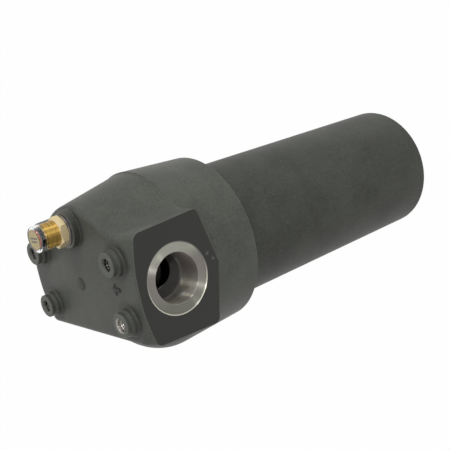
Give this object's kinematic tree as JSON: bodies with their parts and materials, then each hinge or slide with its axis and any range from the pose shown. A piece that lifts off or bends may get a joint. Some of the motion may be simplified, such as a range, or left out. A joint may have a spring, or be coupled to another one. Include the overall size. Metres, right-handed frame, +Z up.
{
  "type": "high pressure filter",
  "caption": "Inline high pressure oil filter: cast head with opposed threaded ports and top fixing bosses, screwed steel bowl, pleated element, visual clogging indicator.",
  "frame": {"origin": "centre of the four fixing holes, in the plane of the bosses' tops, on the filter's axis", "axes": "+Z up along the filter's axis and out of the fixing holes, with the bowl hanging to -Z; +X out of the inlet port; +Y towards the clogging indicator"},
  "size_m": [0.1684, 0.1619, 0.4455],
  "materials": {
    "cast_head": "dark grey satin coat on a fine casting skin, bare steel at the port faces",
    "bowl_steel": "dark grey satin coat",
    "seal_rubber": "matt",
    "backup_plastic": "smooth",
    "plated_steel": "zinc plated",
    "turned_steel": "turned",
    "spring_steel": "drawn wire",
    "filter_paper": "pleated glass fibre",
    "indicator_brass": "turned and polished",
    "magnet_plating": "nickel plated",
    "signal_red": "gloss",
    "clear_cap": "clear, polished",
    "label_plate": "champagne, satin"
  },
  "bodies": {
    "head": {"filter_head": "cast_head", "element_top_cap": "plated_steel", "element_bottom_cap": "plated_steel", "element_core_tube": "plated_steel", "element_media": "filter_paper", "element_o_ring": "seal_rubber", "bypass_valve_body": "turned_steel", "bypass_guide": "turned_steel", "bypass_snap_ring": "spring_steel", "bypass_spring": "spring_steel", "indicator_body": "indicator_brass", "indicator_washer": "plated_steel", "indicator_nose_o_ring": "seal_rubber", "indicator_snap_ring": "spring_steel", "indicator_spring": "spring_steel", "indicator_lens": "clear_cap", "indicator_label": "label_plate"},
    "bowl_seals": {"bowl_o_ring": "seal_rubber", "bowl_backup_ring": "backup_plastic"},
    "bowl": {"bowl": "bowl_steel"},
    "bypass_poppet": {"bypass_poppet": "turned_steel"},
    "indicator_piston": {"indicator_piston": "turned_steel", "indicator_piston_magnet": "magnet_plating"},
    "indicator_signal": {"indicator_signal": "signal_red", "indicator_signal_magnet": "magnet_plating"}
  },
  "joints": [
    {"name": "bowl_lower", "type": "slide", "parent": "head", "child": "bowl_seals", "axis": [0, 0, -1], "range_m": [0, 0.02]},
    {"name": "bowl_unscrew", "type": "hinge", "parent": "bowl_seals", "child": "bowl", "pos_m": [0, 0, -0.118], "axis": [0, 0, -1], "range_deg": [0, 3600]},
    {"name": "bypass_lift", "type": "slide", "parent": "head", "child": "bypass_poppet", "axis": [0, 0, 1], "range_m": [0, 0.006], "stiffness_N_per_m": 8000, "springref_m": -0.015, "deforming": ["bypass_spring"]},
    {"name": "piston_travel", "type": "slide", "parent": "head", "child": "indicator_piston", "axis": [0, 0, 1], "range_m": [0, 0.002], "stiffness_N_per_m": 2500, "springref_m": -0.0136, "deforming": ["indicator_spring"]},
    {"name": "signal_rise", "type": "slide", "parent": "head", "child": "indicator_signal", "axis": [0, 0, 1], "range_m": [0, 0.003]}
  ],
  "couplings": [
    {"joint": "bowl_lower", "follows": "bowl_unscrew", "m_per_rad": 0.0003183},
    {"joint": "signal_rise", "follows": "piston_travel", "ratio": 1.5}
  ]
}
